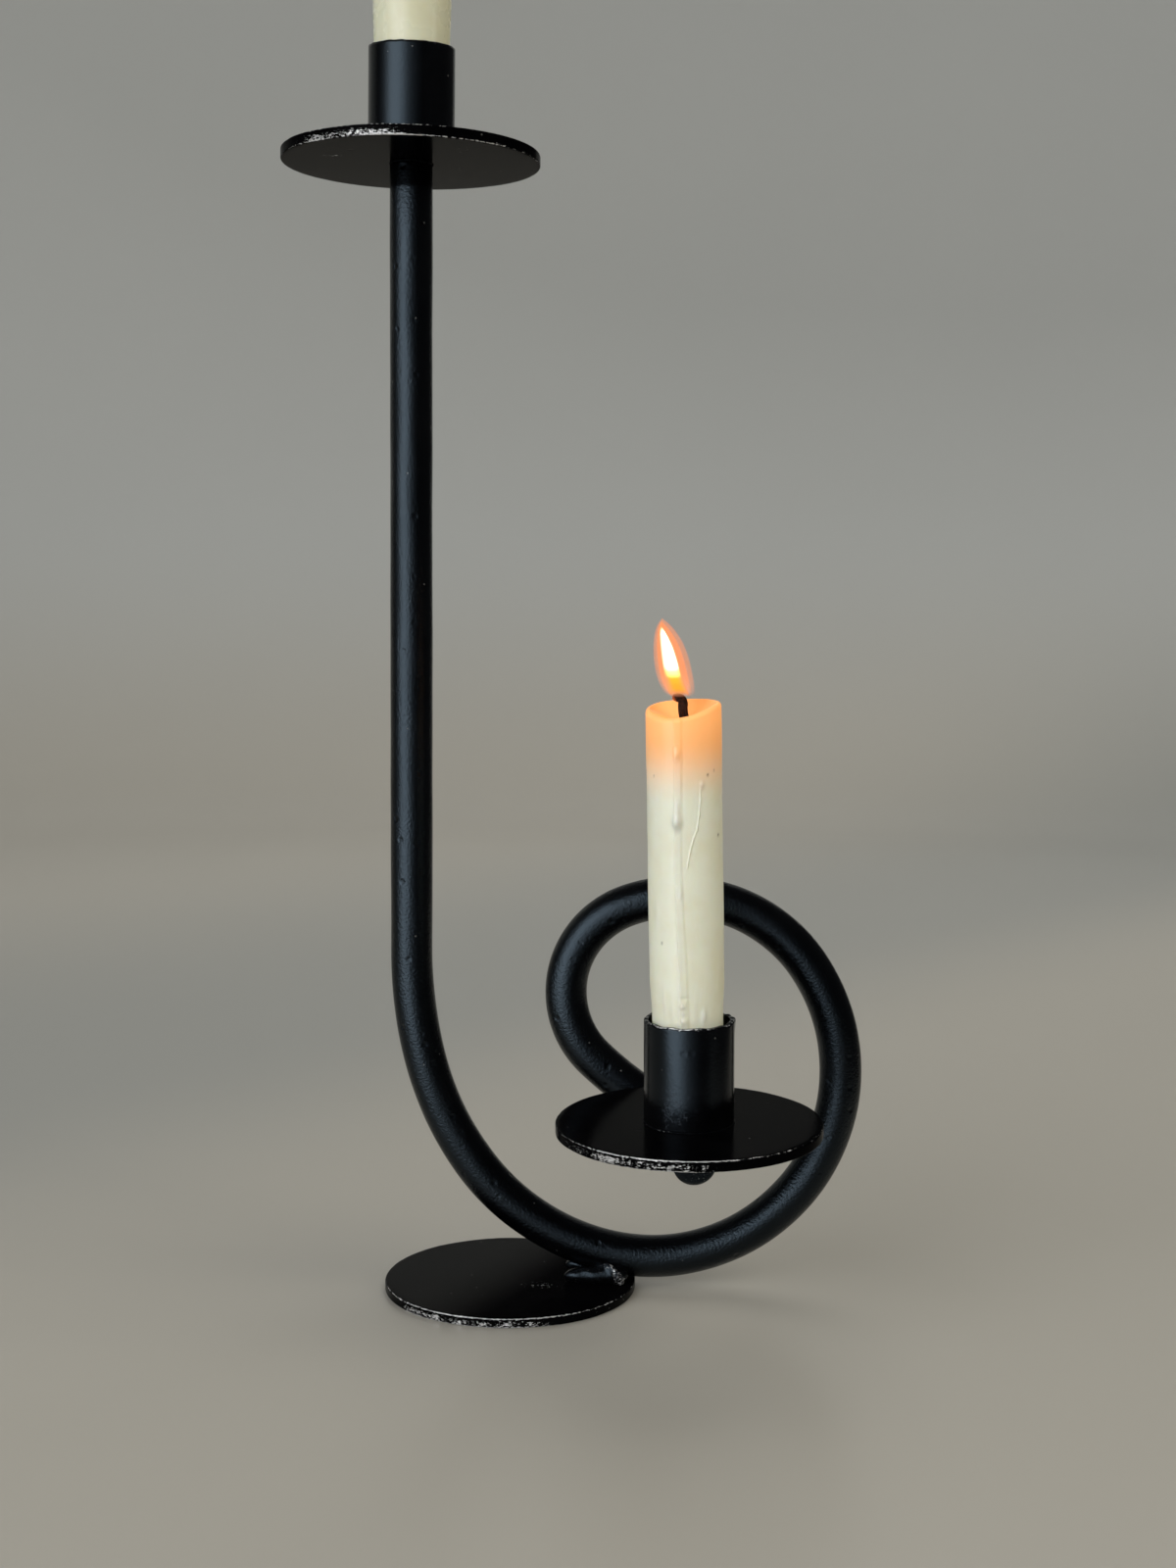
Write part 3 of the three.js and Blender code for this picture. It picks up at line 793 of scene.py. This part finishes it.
rings, wear = bar_rings()
x, _, z = np.moveaxis(rings, -1, 0)
scuff = 0.10 + 0.5 * hump(x, z, 15.5, 97.0, 2.2, 5.0) + 0.25 * hump(x, z, -11.0, 62.0, 6, 5)
# Painted shade under the upper tray: the stem's top mirrors next to nothing
dull_from = box_mm("upper_tray")[0][2] - SHADED_STEM
dull = 0.9 * smooth(dull_from - 0.5, dull_from + 0.5, z)
add_painted("bar", "bent_bar", rings, bar_paint, wear=wear, scuff=scuff, dull=dull)

rings, wear = plate_rings(
    table, BASE_RADIUS, BASE_THICKNESS, 11,
    lower_edge=[(-180, 180, 0.18), (-56, 16, 0.46)],
    upper_edge=[(-180, 180, 0.24), (-75, 52, 0.30), (-50, 18, 0.30)],
    band=[(-180, 180, 0.06), (-56, -30, 0.42), (-30, 14, 0.32)], band_at=0.4,
)
x, y, z = np.moveaxis(rings, -1, 0)
wear = np.clip(wear + 0.2 * hump(x, y, 10.0, -8.0, 6.0, 3.0) * (z > 2), 0, 1)
# Painted shade on the front right of the base's top: a dark reflection painted in, as it mirrors next to
# nothing there
on_top = smooth(BASE_THICKNESS - 0.6, BASE_THICKNESS - 0.1, z)
dull = 0.97 * on_top * smooth(-19.0, 13.0, x - 0.45 * y)
add_painted("base_plate", "base_disc", rings, base_paint, wear=wear, scuff=0.15, dull=dull)

rings, wear = plate_rings(
    upper, UPPER_TRAY_RADIUS, TRAY_THICKNESS, 23,
    lower_edge=[(-180, 180, 0.26), (-50, -38, 0.30), (-14, 4, 0.72), (4, 45, 0.24)],
    upper_edge=[(-180, 180, 0.16), (-60, 10, 0.22)],
    band=[(-180, 180, 0.02), (-50, -40, 0.46), (-38, -5, 0.46)], band_at=0.3,
)
x, y, z = np.moveaxis(upper.seen_from_here(rings), -1, 0)
wear = np.clip(wear + 0.4 * hump(x, y, -21.8, -11.0, 3.2, 0.9) * (z < 1), 0, 1)
add_painted("upper_plate", "upper_tray", rings, tray_paint, wear=wear, scuff=0.1)

rings, wear = plate_rings(
    lower, LOWER_TRAY_RADIUS, TRAY_THICKNESS, 37,
    lower_edge=[(-180, 180, 0.08), (-42, -20, 0.34), (-18, 9, 0.56)],
    upper_edge=[(-180, 180, 0.20), (-64, 50, 0.26), (-42, 16, 0.40)],
    band=[(-180, 180, 0.0), (-62, -42, 0.28), (-42, -30, 0.56), (-30, 8, 0.40)], band_at=0.45,
)
add_painted("lower_plate", "lower_tray", rings, tray_paint, wear=wear, scuff=0.1)

rings, corner_wear, seen, _ = cup_rings(upper, UPPER_CUP_HEIGHT, 41, slant=0.9, ragged=0.05)
scuff = 0.12 + 0.3 * np.exp(-((seen + 18) / 14) ** 2)
add_painted("upper_socket", "upper_cup", rings, cup_paint, looped=True, wear=0.3 * corner_wear, scuff=scuff)

rings, corner_wear, seen, z = cup_rings(lower, LOWER_CUP_HEIGHT, 43, burr=0.35, ragged=0.14)
wear = corner_wear * (0.3 + spans(seen, [(-52, 14, 0.45)]))
scuff = 0.14 + 0.62 * hump(seen, z, -20, 7, 30, 8)
add_painted("lower_socket", "lower_cup", rings, cup_paint, looped=True, wear=wear, scuff=scuff)

SEAM = "painted_weld"
for name, head, seed in (("upper_cup", upper, 51), ("lower_cup", lower, 53)):
    rings = head.place(ring_weld(CUP_RADIUS, 0.3, head.seat - SEAT_GAP, seed))
    wear = 0.02 + 0.16 * spans(head.from_view(circle(SEAM_STEPS)), [(-62, -20, 1.0)])[:, None]
    add_painted(name + "_seam", name + "_weld", rings, seam_paint, SEAM, True, wear=wear, scuff=0.2)
rings = upper.place(ring_weld(BAR_RADIUS, 0.28, 0.0, 55, hang=-1.0))
add_painted("stem_seam", "stem_weld", rings, seam_paint, SEAM, True, wear=0.0, scuff=0.1)

# Beads of the base: in the corner between the bar and the disc, from the middle outwards to the rim
BASE_RIDGES = [(4.0, 2.2, 0.20), (9.6, 2.4, 0.34), (17.2, 1.5, 1.15)]
TAIL_RIDGES = [(2.0, 0.9, 0.3), (4.4, 0.8, 0.3), (6.9, 0.9, 0.3), (9.3, 0.8, 0.3), (11.6, 0.9, 0.3)]
BEAD_SINK = 0.9  # how far a bead's axis lies inside the bar's outline
bar_side = box_mm("bent_bar")[1][1] - BAR_RADIUS
for side, sign, facing, seed in (("front", -1, 0.0, 61), ("back", 1, math.pi, 67)):
    y = bar_side + sign * (BAR_RADIUS - BEAD_SINK)
    start, end = np.array([[16.6, y, BASE_THICKNESS + 1.6], [36.0, y, BASE_THICKNESS + 2.4]])
    rings, crest = bead_rings(start, end, 1.9, 3.1, BASE_RIDGES, seed, facing)
    # The bare metal and scuffs on the main crest are partly real wear and partly a painted highlight: the
    # window's glint on the ridge
    wear = 0.03 + 0.30 * crest * smooth(25, 31, rings[..., 0])
    fields = {"wear": wear, "scuff": 0.2 + 0.5 * crest}
    add_painted(side + "_base_bead", "base_weld_" + side, rings, weld_paint, SEAM, **fields)

for side, sign, seed in (("left", -1, 71), ("right", 1, 73)):
    x = sign * (BAR_RADIUS - BEAD_SINK + 1.1)
    start, end = lower.place(np.array([[x, 7.6, -1.9], [x, -5.1, -1.9]]))
    rings, crest = bead_rings(start, end, 2.1, 2.1, TAIL_RIDGES, seed, lag=1.5)
    add_painted(side + "_tail_bead", "tail_weld_" + side, rings, weld_paint, SEAM, wear=0.0, scuff=0.4)


# The lower candle, burning

LOWER_RADIUS, LOWER_FOOT, LOWER_SHOWN = 10.45, 10.0, 89.0
MELTED = [  # degrees, and how far the rim has melted below the top
    (-180, 0.3), (-135, 0.9), (-100, 1.7), (-60, 3.2), (-30, 4.2), (-5, 3.9), (12, 3.4), (30, 2.5), (60, 1.0),
    (90, 0.5), (135, 0.2),
]
POOL_FLOOR = 5.6
RUN_ANGLE = -11.0
RUNS = [  # of wax down the side: degrees, height above the foot, width and height of the bell, and relief
    (-11.3, 85.7, 1.1, 1.7, 0.95), (-10.0, 89.0, 0.7, 2.2, 0.30), (-9.5, 104.4, 0.9, 1.5, 0.50),
    (26.6, 95.6, 0.75, 0.9, 0.40), (-7.0, 65.9, 0.7, 1.3, 0.30), (27.0, 31.6, 0.9, 2.0, 0.45),
    (-4.0, 36.9, 1.3, 0.4, -0.30), (-6.5, 34.6, 0.9, 0.8, 0.40), (-5.5, 32.6, 0.8, 0.7, 0.30),
    (-4.5, 30.6, 0.9, 0.8, 0.40), (-38.0, 36.0, 0.6, 4.0, 0.22), (-24.0, 33.0, 0.7, 3.0, 0.16),
    (12.0, 33.0, 0.8, 3.0, 0.14), (-52.0, 60.0, 0.8, 5.0, 0.12),
]
TRICKLE = [  # degrees, height
    (24.6, 94.4), (24.1, 92.0), (22.0, 87.8), (18.6, 83.8), (11.7, 80.6), (7.0, 77.4), (3.3, 73.9),
]
TRICKLE_WIDTH, TRICKLE_HEIGHT = 0.22, 0.22
SPOTS = [  # of dirt: degrees, height, size
    (38.0, 98.3, 0.34), (52.0, 99.3, 0.26), (-40.0, 52.0, 0.3), (61.0, 81.4, 0.4), (-52.0, 98.0, 0.25),
]


def lower_rim(angle):
    """The melted rim: the table above, joined by straight lines round the circle and then smoothed."""
    degrees, fall = np.array(MELTED).T
    raw = np.interp(lower.from_view(angle), degrees, fall, period=360)
    wrapped = np.concatenate([raw[-12:], raw, raw[:12]])
    return np.convolve(wrapped, bell(12), "valid")


def arc_from(seen, degrees, radius=LOWER_RADIUS):
    """Millimetres round the side from a place given in degrees."""
    return np.radians((seen - degrees + 180) % 360 - 180) * radius


def lower_side(angle, z):
    """Relief of the burnt candle's side: a wide run with a steep left edge, drops and lumps that are bells, a
    thin trickle along a broken line, and soft unevenness."""
    seen = lower.from_view(angle)
    bend = RUN_ANGLE + 1.4 * np.sin(z / 14.0) + 5.0 * smooth(80, 40, z)
    off = arc_from(seen, bend)
    run = smooth(-1.0, -0.72, off) * smooth(1.6, 0.7, off) * 0.26
    ridge = 0.34 * np.exp(-np.abs(off + 0.85) / 1.9)
    total = ridge + run * (0.8 + 0.35 * np.sin(z * 0.9) * np.sin(z * 0.23 + 1))
    for degrees, height, wide, high, relief in RUNS:
        total = total + relief * hump(arc_from(seen, degrees), z, 0, height, wide, high)
    for (a0, z0), (a1, z1) in zip(TRICKLE, TRICKLE[1:]):
        share = np.clip((z0 - z) / (z0 - z1), 0, 1)
        off = arc_from(seen, a0 + (a1 - a0) * share) / TRICKLE_WIDTH
        total = total + TRICKLE_HEIGHT * np.exp(-off ** 2) * ((z <= z0 + 0.4) & (z >= z1 - 0.4))
    return total + 0.07 * swell(angle, z, 81, 9, 4, 0.12) + 0.02 * swell(angle, z, 82, 9, 12, 0.5)


angle = packed_circle(320, lower.view)
rings, z, part = candle_rings(
    LOWER_RADIUS, LOWER_FOOT, LOWER_CUP_HEIGHT, LOWER_SHOWN, lower_rim, POOL_FLOOR, angle, lower_side,
)
lower_top = LOWER_CUP_HEIGHT + LOWER_SHOWN
seen = lower.from_view(angle)[None]
side, rim, bowl = part == 1, part == 2, part == 3
glow = np.clip(1 - (lower_top - 3.0 - z) / 25.0, 0, 0.93) + 0.1 * rim
dirt = sum(hump(arc_from(seen, degrees), z, 0, height, size, size) for degrees, height, size in SPOTS) * side
off = arc_from(seen, RUN_ANGLE)
run = bowl + 0.45 * smooth(-1.0, -0.6, off) * smooth(1.6, 0.6, off) * side
for degrees, height, wide, high, relief in RUNS:
    run = run + 2.5 * max(relief, 0) * hump(arc_from(seen, degrees), z, 0, height, wide, high)
lower_lift = lower.seat + LOWER_FOOT * math.sin(math.radians(abs(CANDLE_LEAN)))
rings = lower.place(rings, CANDLE_LEAN, lower_lift)
mesh = fill_mesh("lower_stick", rings, glow=glow, dirt=np.clip(dirt, 0, 1), run=np.clip(run, 0, 1))
add_piece("lower_stick", mesh, waxen("burning_wax", True), LOWER_STICK, "wax", "lower_candle")


# The upper candle, cold

UPPER_RADIUS, UPPER_FOOT, UPPER_SHOWN = 11.4, 11.1, 89.0


def upper_rim(angle):
    """A cold candle's rim, hardly melted: soft waves of a few tenths of a millimetre."""
    return 0.35 + 0.25 * swell(angle, 0, 91, 6, 4)


def upper_side(angle, z):
    """Relief of the upper candle's side: soft unevenness and two long shallow dents."""
    seen = upper.from_view(angle)
    dents = hump(arc_from(seen, -20, UPPER_RADIUS), z, 0, 36, 1.6, 14)
    dents = dents + hump(arc_from(seen, 14, UPPER_RADIUS), z, 0, 60, 2, 18)
    return 0.06 * swell(angle, z, 92, 9, 4, 0.12) - 0.12 * dents


rings, _, _ = candle_rings(
    UPPER_RADIUS, UPPER_FOOT, UPPER_CUP_HEIGHT, UPPER_SHOWN, upper_rim, 3.6, circle(224), upper_side,
)
mesh = fill_mesh("upper_stick", upper.place(rings, lift=upper.seat), glow=0.0, dirt=0.0, run=0.0)
cold_wax = waxen(
    "cold_wax", False, Matt=0.18, Ivory=(0.635, 0.63, 0.465, 1), Cloud=(0.60, 0.58, 0.40, 1),
    Pale=(0.70, 0.70, 0.55, 1),
)
add_piece("upper_stick", mesh, cold_wax, UPPER_STICK, "wax", "upper_candle")


# The wicks. The lower one stands in the pool and hooks over to the left of the picture

wick_black = charred()
upper_top = UPPER_CUP_HEIGHT + UPPER_SHOWN
rings, _ = wick_rings(
    upper.origin, upper.axes, upper.seat + upper_top - 7.0,
    straight=8.6, hook=1.6, turn=60, thick=0.75, seed=95,
)
mesh = fill_mesh("upper_string", rings, ember=0.0)
add_piece("upper_string", mesh, wick_black, UPPER_STICK, "wick", "upper_wick")

WICK_SUNK = 1.5  # of the lower wick's foot below the pool's floor
level = unit(pointing(YAW))
stick_up = unit(lower.place(np.array([0, 0, 100.0]), CANDLE_LEAN) - lower.place(np.zeros(3), CANDLE_LEAN))
right = unit(level - (level @ stick_up) * stick_up)
wick_axes = np.stack([right, np.cross(stick_up, right), stick_up])
wick_foot = lower.place(np.array([0, 0, lower_top - POOL_FLOOR - WICK_SUNK]), CANDLE_LEAN, lower_lift)
rings, tip = wick_rings(wick_foot, wick_axes, 0.0, straight=6.2, hook=1.6, turn=135, thick=1.08, seed=97)
mesh = fill_mesh("lower_string", rings, ember=0.6 * tip)
add_piece("lower_string", mesh, wick_black, LOWER_STICK, "wick", "lower_wick")


# The flame, above the middle of the lower candle's top: right, height, and half width of each station
FLAME = np.array([
    (-0.7, 1.2, 2.55), (-1.45, 2.4, 2.6), (-2.35, 5.0, 2.45), (-3.15, 7.9, 2.3), (-3.9, 11.4, 2.1),
    (-4.7, 14.9, 1.7), (-5.6, 18.0, 1.05), (-6.4, 20.6, 0.15),
])
CORE_COLOURS = [
    (0.0, (0.15, 0.055, 0.035, 1)), (0.10, (0.17, 0.055, 0.010, 1)), (0.22, (0.18, 0.080, 0.003, 1)),
    (0.33, (0.19, 0.105, 0.003, 1)), (0.42, (0.55, 0.42, 0.10, 1)), (0.52, (1.0, 0.86, 0.62, 1)),
    (0.88, (1.0, 0.8, 0.5, 1)), (1.0, (0.2, 0.08, 0.012, 1)),
]
GLOW_COLOURS = [(0.0, (1.0, 0.40, 0.22, 1)), (0.5, (1.0, 0.33, 0.13, 1))]
flame_foot = lower.place(np.array([0, 0, lower_top]), CANDLE_LEAN, lower_lift)
flame_axes = np.stack([right, np.cross([0, 0, 1.0], right), [0, 0, 1.0]])
core = burning("flame_core", CORE_COLOURS, 6.0, (0.17, 0.036, 0.004, 1))
halo = burning("flame_halo", GLOW_COLOURS, 1.1, (1.0, 0.36, 0.22, 1), fading=True)
# Each shell's swelling, drift to the right, least and further thickness of its veil, and where that is full
for name, material, swollen, drift, least, more, full_at in (
    ("flame", core, 0.0, 0.0, 0.12, 0.88, 0.22),
    ("flame_glow_inner", halo, 0.7, 0.1, 0.0, 0.74, 0.35),
    ("flame_glow_middle", halo, 1.6, 0.25, 0.0, 0.56, 0.35),
    ("flame_glow_outer", halo, 2.8, 0.4, 0.0, 0.28, 0.35),
):
    local, t = flame_rings(swollen, drift)
    mesh = fill_mesh(name, flame_foot + local @ flame_axes, up=t, veil=least + more * smooth(0.0, full_at, t))
    add_piece(name, mesh, material, LOWER_STICK, None)


# Stage, light and camera

COVE_LEVEL, COVE_ROUNDING, COVE_HEIGHT = 1400.0, 900.0, 3200.0
SHELF_FRONT, SHELF_RIGHT = -215.0, 330.0
SCREEN_RADIUS, SCREEN_CENTRE = 1500.0, 10.0
INWARDS = [0, 3, 2, 1]  # order of a face's corners that turns it to the object
WINDOWS = [  # degrees from the front, positive to the right, and strength
    (-100, 0.0), (-84, 0.02), (-72, 0.09), (-62, 0.33), (-54, 0.76), (-44, 1.04), (-32, 1.04), (-23, 0.84),
    (-13, 0.48), (-4, 0.22), (6, 0.10), (20, 0.03), (38, 0.0),
]


def add_stage(name, points, faces, material):
    """A sheet of the stage, which isn't part of the object, from points in millimetres."""
    mesh = new_mesh(name, points.reshape(-1, 3), faces.reshape(-1, 4))
    mesh.materials.append(material)
    sheet = put_in_scene(name, mesh)
    return sheet


def backdrop():
    """A round cove: a level floor, a quarter circle and an upright wall, turned about the z axis. It is split
    in two outside the picture. The paint mirrors the room through the part in front and to the right, as past
    the edges of a shelf. The floor has a painted soft shade behind the object, and a painted shade beside the
    windows, so that it isn't too bright from behind."""
    curve = quarter(25)
    far = COVE_LEVEL + COVE_ROUNDING
    bent = COVE_LEVEL + COVE_ROUNDING * np.sin(curve)[1:]
    r = np.concatenate([np.linspace(0.5, COVE_LEVEL, 57), bent, [far]])
    z = np.concatenate([np.zeros(57), COVE_ROUNDING - COVE_ROUNDING * np.cos(curve)[1:], [COVE_HEIGHT]])
    around = 120
    points = turned(r[:, None], z[:, None], circle(around)[None]).reshape(-1, 3)
    faces = grid_faces(len(r), around)[:, INWARDS]
    middle = points[faces].mean(1)
    in_front = middle[:, 1] < SHELF_FRONT
    outside = in_front | (middle[:, 0] > SHELF_RIGHT + 0.35 * np.clip(middle[:, 1], 0, None))

    made, w, shader = new_material("backdrop_paint", Specular_IOR_Level=0.5)
    place = w.place()
    height = w.add("ShaderNodeSeparateXYZ", {0: place}).outputs[2]
    soft = w.noise(place, 3.0)
    floor = w.blend(soft, (0.42, 0.401, 0.353, 1), (0.44, 0.420, 0.369, 1))
    wall = w.blend(soft, (0.46, 0.468, 0.451, 1), (0.48, 0.488, 0.470, 1))
    # Painted soft shade on the floor behind the object
    behind = w.along(place, (-0.76, 0.65, 0.0))
    shaded = w.times(w.ramp(behind, 0.10, 0.34), w.ramp(behind, 0.42, 0.95, 1.0, 0.0))
    floor = w.blend(shaded, floor, (0.325, 0.327, 0.305, 1))
    # Painted shade on the floor beside the windows, which holds back their light there
    by_window = w.along(place, (-0.67, -0.74, 0.0))
    near_panes = w.times(w.ramp(by_window, 0.45, 1.0), w.ramp(by_window, 1.48, 1.58, 1.0, 0.0))
    floor = w.blend(near_panes, floor, (0.05, 0.049, 0.045, 1))
    colour = w.blend(w.ramp(height, 0.0, 0.35), floor, wall)
    w.feed(shader, {"Base Color": colour, "Roughness": w.ramp(height, 0.0, 0.06, 0.3, 0.85)})
    for name, chosen in (("backdrop", ~outside), ("front_floor", outside)):
        used, index = np.unique(faces[chosen], return_inverse=True)
        sheet = add_stage(name, points[used], index, made)
        sheet.data.shade_smooth()
        sheet.visible_glossy = sheet.visible_shadow = name == "backdrop"


def window_screens():
    """The windows at the left front, as upright round screens that shine inwards only, with a strength for
    every azimuth. The lower one, past the edge of the shelf, shows only in gloss."""
    degrees, strength = np.array(WINDOWS).T
    a = np.radians(degrees)[None]
    faces = grid_faces(3, len(strength), sheet=True)[:, INWARDS]
    for name, low, high, share in (
        ("window_screen", 150.0, 1450.0, 1.0), ("window_foot", -700.0, 150.0, 0.85),
    ):
        z = np.array([low, (low + high) / 2, high])[:, None]
        x, y = SCREEN_CENTRE + SCREEN_RADIUS * np.sin(a), -SCREEN_RADIUS * np.cos(a)
        made, w, shader = new_material(
            name, Base_Color=grey(0.0), Specular_IOR_Level=0.0, Emission_Strength=4.75,
        )
        pane = w.blend(w.field("strength"), grey(0.0), (0.97, 0.985, 1.0, 1))
        behind = w.add("ShaderNodeNewGeometry").outputs["Backfacing"]
        w.feed(shader, {"Emission Color": w.blend(behind, pane, grey(0.0))})
        screen = add_stage(name, np.stack(np.broadcast_arrays(x, y, z), -1), faces, made)
        set_field(screen.data, "strength", np.tile(share * strength, 3))
        screen.visible_camera = screen.visible_shadow = False
        screen.visible_diffuse = name == "window_screen"


def stand(item, columns, origin):
    """Turns and moves a lamp or camera: the columns are its x, y and z axes, and the origin is in metres."""
    matrix = np.eye(4)
    matrix[:3, :3] = np.stack(columns, -1)
    matrix[:3, 3] = origin
    item.matrix_world = Matrix(matrix.tolist())


def soft_light(name, azimuth, elevation, distance, size, power, colour, aim):
    """An area lamp that faces its aim, seen only by diffuse light. Azimuth is degrees from the front."""
    away = pointing(math.radians(azimuth - 90), math.radians(elevation))
    data = bpy.data.lights.new(name, "AREA")
    data.shape = "RECTANGLE"
    data.size, data.size_y = size
    data.energy, data.color = power, colour
    lamp = put_in_scene(name, data)
    side = unit(np.cross([0, 0, 1.0], away))
    stand(lamp, (side, np.cross(away, side), away), np.array(aim) * MM + away * distance)
    lamp.visible_camera = lamp.visible_glossy = False


def make_camera():
    level, ahead = pointing(YAW), pointing(YAW + math.pi / 2, -TILT)
    up = np.cross(level, ahead)
    c, s = math.cos(ROLL), math.sin(ROLL)
    data = bpy.data.cameras.new("camera")
    data.sensor_width = SENSOR
    data.lens = SENSOR * FOCAL_PIXELS / PICTURE_HEIGHT
    data.clip_start, data.clip_end = 0.01, 20
    camera = put_in_scene("camera", data)
    stand(camera, (level * c + up * s, up * c - level * s, -ahead), EYE * MM)
    bpy.context.scene.camera = camera


backdrop()
window_screens()
MIDDLE = (10, 0, 200)  # of the object
for lamp in (  # azimuth, elevation, distance in metres, size, power, colour, aim
    ("bounce_right", 68, 30, 1.7, (1.2, 1.2), 12, (1.0, 0.93, 0.80), MIDDLE),
    ("bounce_behind", 165, 50, 1.8, (1.2, 1.2), 10, (1.0, 0.99, 0.97), MIDDLE),
    ("rear_wall_wash", 0, 32, 1.7, (2.4, 0.6), 6, (1.0, 1.0, 1.0), (0, 2300, 500)),
    ("front_wall_wash", 180, 32, 1.7, (2.4, 0.6), 6, (1.0, 1.0, 1.0), (0, -2300, 500)),
):
    soft_light(*lamp)
world = bpy.data.worlds.new("room")
world.use_nodes = True
world.node_tree.nodes["Background"].inputs[0].default_value = (0.04, 0.04, 0.041, 1)
bpy.context.scene.world = world
bpy.context.scene.view_settings.view_transform = "Standard"
make_camera()
